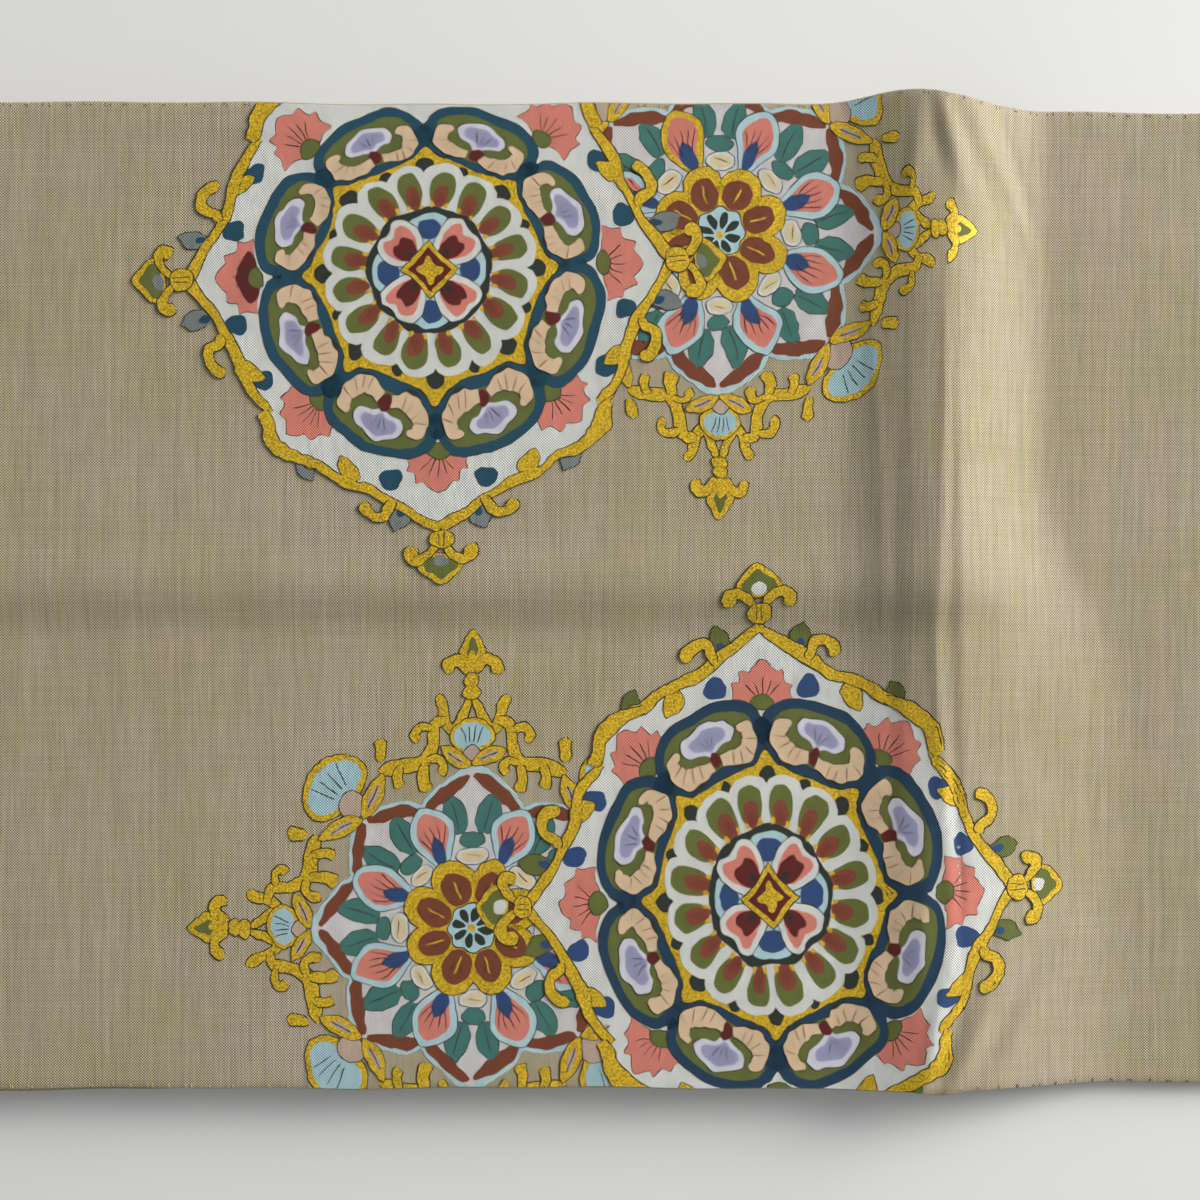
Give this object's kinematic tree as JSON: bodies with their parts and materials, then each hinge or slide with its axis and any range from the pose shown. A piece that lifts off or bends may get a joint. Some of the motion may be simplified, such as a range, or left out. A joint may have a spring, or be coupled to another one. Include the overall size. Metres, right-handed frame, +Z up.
{
  "type": "obi sash",
  "caption": "Full-length kimono obi sash of tapestry-woven silk with round floral medallions, folded flat and lying face up.",
  "frame": {"origin": "on the surface that the folded obi lies on, at the centre of its outline", "axes": "+X along the obi's length, from the tip towards the fold past the step; +Y across its width, towards the half with the hand end under it; +Z up, out of the face"},
  "size_m": [0.6, 0.312, 0.0217],
  "materials": {
    "figured_silk": "tapestry-woven silk, olive-beige ground with figured medallions in coloured silk and metallic gold thread, matt with a faint sheen",
    "ground_silk": "plain tapestry-woven silk ground, olive-beige, matt with slubs across the width"
  },
  "bodies": {
    "root": {"taiko_face": "figured_silk", "taiko_back": "ground_silk", "folded_layers": "ground_silk", "te_band": "ground_silk"}
  },
  "joints": []
}
